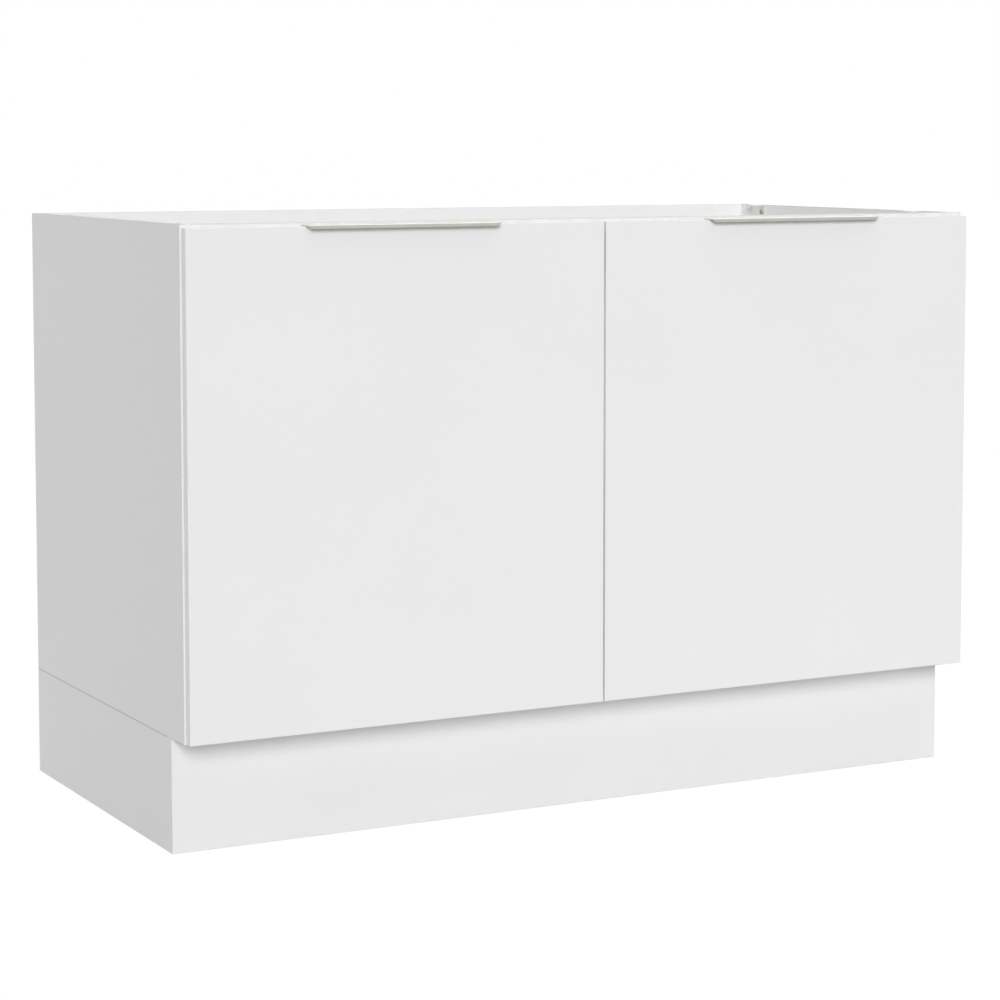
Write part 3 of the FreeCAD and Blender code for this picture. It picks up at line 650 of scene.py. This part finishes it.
def front_band(name, node):
    """A band on a board's front edge."""
    low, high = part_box(node)
    start = (low[0] + edge_round, low[1] - band_proud + band_scrape / 2, low[2] + edge_round)
    end = (high[0] - edge_round, low[1] - band_proud + band_thickness, high[2] - edge_round)
    piece = start_block(name, start, end)
    select_faces(piece, lambda face: face.normal.y < -straight_on)
    bpy.ops.mesh.inset(thickness=band_scrape, depth=0)
    bpy.ops.transform.translate(value=(0, -band_scrape / 2, 0))
    bpy.ops.object.mode_set(mode="OBJECT")
    settle(piece, "carcass", band_finish)


for name, node in (("left_side_band", "left_side_panel"), ("right_side_band", "right_side_panel"),
                   ("floor_band", "bottom_panel"), ("shelf_band", "shelf")):
    front_band(name, node)

# %% [markdown]
# ## Edge bands of the doors
# A door has bands on all four edges, apart from the stretch where the pull is let into its top. Four
# separate strips could be laid and mitred at the corners. A block without its front and back faces is
# simpler: it gets a wall with Solidify and scraped edges with Bevel, and a Boolean takes out the stretch
# at the pull.

# %% Bands round the doors
door_front_round = 0.0008
door_back_round = 0.002
inward = -1
scrape_segments = 2


def door_band(name, node, pull, body):
    """A band round a door's four edges, left out under the pull."""
    low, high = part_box(node)
    pull_low, pull_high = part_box(pull)
    start = (low[0] - band_proud, low[1] + door_front_round, low[2] - band_proud)
    end = (high[0] + band_proud, high[1] - door_back_round, high[2] + band_proud)
    piece = start_block(name, start, end)
    select_faces(piece, lambda face: abs(face.normal.y) > straight_on)
    bpy.ops.mesh.delete(type="FACE")
    bpy.ops.object.mode_set(mode="OBJECT")
    wall = piece.modifiers.new("wall", "SOLIDIFY")
    wall.thickness = band_thickness
    wall.offset = inward
    scraped = piece.modifiers.new("scraped", "BEVEL")
    scraped.width = band_proud
    scraped.segments = scrape_segments
    gap_start = (pull_low[0] - band_proud, low[1], high[2] - 2 * band_thickness)
    gap_end = (pull_high[0] + band_proud, high[1], high[2] + band_thickness)
    cutter = start_block("pull_gap", gap_start, gap_end)
    gap = piece.modifiers.new("gap", "BOOLEAN")
    gap.operation = "DIFFERENCE"
    gap.object = cutter
    bpy.context.view_layer.objects.active = piece
    for modifier in ("wall", "scraped", "gap"):
        bpy.ops.object.modifier_apply(modifier=modifier)
    bpy.data.objects.remove(cutter)
    settle(piece, body, band_finish)


for side in ("left", "right"):
    door_band(side + "_door_band", side + "_door", side + "_pull", side + "_door_leaf")

# %% [markdown]
# ## White floor
# The photograph is a cut-out on pure white. A plain white floor would turn grey where less light falls on
# it, and without a floor the cabinet would seem to float. So the camera sees a floor that glows nearly white
# and still takes a faint shadow, while light that bounces about meets a plain pale floor.

# %% Rays that are seen
def seen_rays(tree):
    """One where a ray comes straight from the camera, or by way of a mirror or a clear piece."""
    rays = tree.nodes.new("ShaderNodeLightPath").outputs
    by_surface = sums(tree, "MAXIMUM", rays["Is Glossy Ray"], rays["Is Transmission Ray"])
    return sums(tree, "MAXIMUM", rays["Is Camera Ray"], by_surface)


print("helper for seen rays ready")

# %% Finish of the floor
floor_lift = 0.815
floor_shade = (0.25, 0.25, 0.25, 1)
floor_bounce = (0.55, 0.55, 0.55, 1)

floor_finish = bpy.data.materials.new("studio_floor")
floor_finish.use_nodes = True
tree = floor_finish.node_tree
tree.nodes.clear()
shaded = tree.nodes.new("ShaderNodeBsdfDiffuse")
shaded.inputs["Color"].default_value = floor_shade
glow = tree.nodes.new("ShaderNodeEmission")
glow.inputs["Strength"].default_value = floor_lift
shown = tree.nodes.new("ShaderNodeAddShader")
connect(tree, shaded.outputs[0], shown.inputs[0])
connect(tree, glow.outputs[0], shown.inputs[1])
bounce = tree.nodes.new("ShaderNodeBsdfDiffuse")
bounce.inputs["Color"].default_value = floor_bounce
either = tree.nodes.new("ShaderNodeMixShader")
connect(tree, seen_rays(tree), either.inputs[0])
connect(tree, bounce.outputs[0], either.inputs[1])
connect(tree, shown.outputs[0], either.inputs[2])
output = tree.nodes.new("ShaderNodeOutputMaterial")
connect(tree, either.outputs[0], output.inputs["Surface"])
print("floor finish:", len(tree.nodes), "nodes")

# %% Floor
floor_size = 60.0

bpy.ops.object.select_all(action="DESELECT")
bpy.ops.mesh.primitive_plane_add(size=floor_size, location=(0, 0, 0))
floor = bpy.context.object
floor.name = "studio_floor"
floor.data.materials.append(floor_finish)
print("floor", floor_size, "m")

# %% [markdown]
# ## Surround and lamps
# The photograph's tones are very even, with the doors a little brighter than the side. Area lamps close to
# the cabinet would make bright patches, while a wide sun is as bright at one end of the doors as at the
# other. One sun stands at the front left, one overhead lights the top edges, and a weak one reaches the
# right and the rear. An even white surround fills the rest, and the camera sees it as pure white.

# %% Surround
surround_level = 0.25
pure_white = (1, 1, 1, 1)

world = bpy.data.worlds.new("white_surround")
bpy.context.scene.world = world
world.use_nodes = True
tree = world.node_tree
background = tree.nodes["Background"]
background.inputs["Color"].default_value = pure_white
rest_of_white = sums(tree, "MULTIPLY", seen_rays(tree), 1 - surround_level)
connect(tree, sums(tree, "ADD", rest_of_white, surround_level), background.inputs["Strength"])
print("surround level", surround_level)

# %% Lamps
lamp_distance = 5.0


def wide_sun(name, heading, height, spread, level):
    """Even light from one side, with angles in degrees. A white face turned to it gives back its level."""
    heading, height = math.radians(heading), math.radians(height)
    flat = math.cos(height)
    away = Vector((math.sin(heading) * flat, -math.cos(heading) * flat, math.sin(height)))
    bpy.ops.object.select_all(action="DESELECT")
    bpy.ops.object.light_add(type="SUN", location=lamp_distance * away)
    lamp = bpy.context.object
    lamp.name = name
    lamp.data.energy = level * math.pi
    lamp.data.angle = math.radians(spread)
    lamp.rotation_euler = (-away).to_track_quat("-Z", "Y").to_euler()
    print(name, "level", level, "spread", spread)


wide_sun("front_sun", heading=-25, height=20, spread=24, level=0.65)
wide_sun("top_sun", heading=0, height=85, spread=60, level=0.265)
wide_sun("fill_sun", heading=135, height=30, spread=50, level=0.20)
